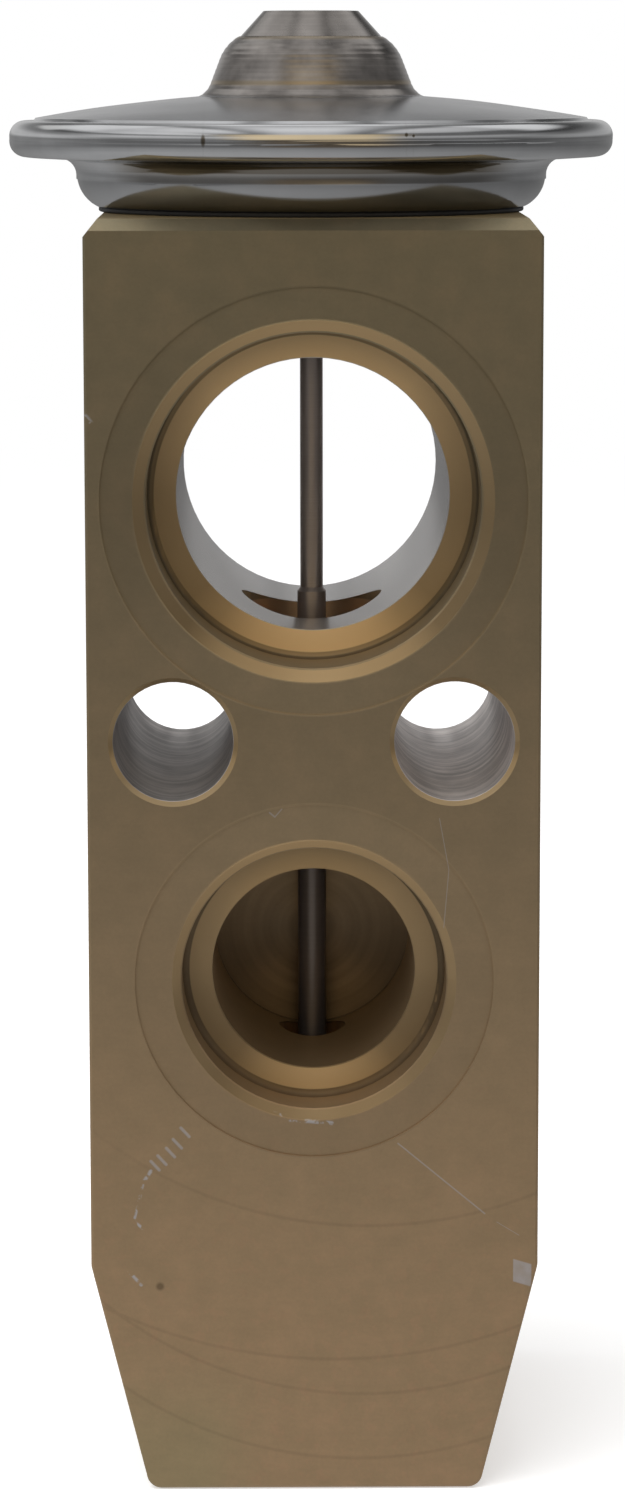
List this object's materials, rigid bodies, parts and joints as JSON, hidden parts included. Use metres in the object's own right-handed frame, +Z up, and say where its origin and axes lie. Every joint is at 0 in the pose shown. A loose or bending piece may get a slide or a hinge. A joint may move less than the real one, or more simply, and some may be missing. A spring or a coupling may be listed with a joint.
{
  "type": "block expansion valve",
  "caption": "Block-type refrigerant expansion valve: anodised block with suction and liquid ports, and a round stainless diaphragm head.",
  "frame": {"origin": "centre of the block's foot, on the valve's axis", "axes": "+Z up the valve's axis to the head, -Y out of the evaporator side with the suction inlet and liquid outlet, +X to the right seen from that side"},
  "size_m": [0.0356, 0.0356, 0.0857],
  "materials": {
    "anodised_aluminium": "champagne anodised, satin",
    "stainless": "pressed and polished",
    "plug_steel": "turned",
    "pin_steel": "ground",
    "spring_steel": "drawn",
    "brass": "turned",
    "seal_rubber": "matt black"
  },
  "bodies": {
    "root": {"valve_block": "anodised_aluminium", "pin_seal": "seal_rubber", "seal_washer": "pin_steel", "seal_retainer": "spring_steel", "closing_spring": "spring_steel", "head_seal_ring": "seal_rubber", "head_lower_cover": "stainless", "diaphragm": "stainless", "head_upper_cover": "stainless", "charge_plug": "plug_steel"},
    "stem": {"transfer_pin": "pin_steel", "diaphragm_plate": "pin_steel", "valve_ball": "pin_steel", "ball_carrier": "brass", "damping_ring": "spring_steel"},
    "screw_seal": {"screw_seal": "seal_rubber"},
    "adjuster": {"adjusting_screw": "brass"}
  },
  "joints": [
    {"name": "stem_lift", "type": "slide", "parent": "root", "child": "stem", "axis": [0, 0, -1], "range_m": [0, 0.0007], "stiffness_N_per_m": 2000, "springref_m": -0.004, "deforming": ["closing_spring", "diaphragm"]},
    {"name": "screw_travel", "type": "slide", "parent": "root", "child": "screw_seal", "axis": [0, 0, 1], "range_m": [-0.00075, 0.00075]},
    {"name": "screw_turn", "type": "hinge", "parent": "screw_seal", "child": "adjuster", "pos_m": [0, 0, 0.005], "axis": [0, 0, 1], "range_deg": [-375, 375]}
  ],
  "couplings": [
    {"joint": "screw_turn", "follows": "screw_travel", "rad_per_m": 8377.6}
  ]
}
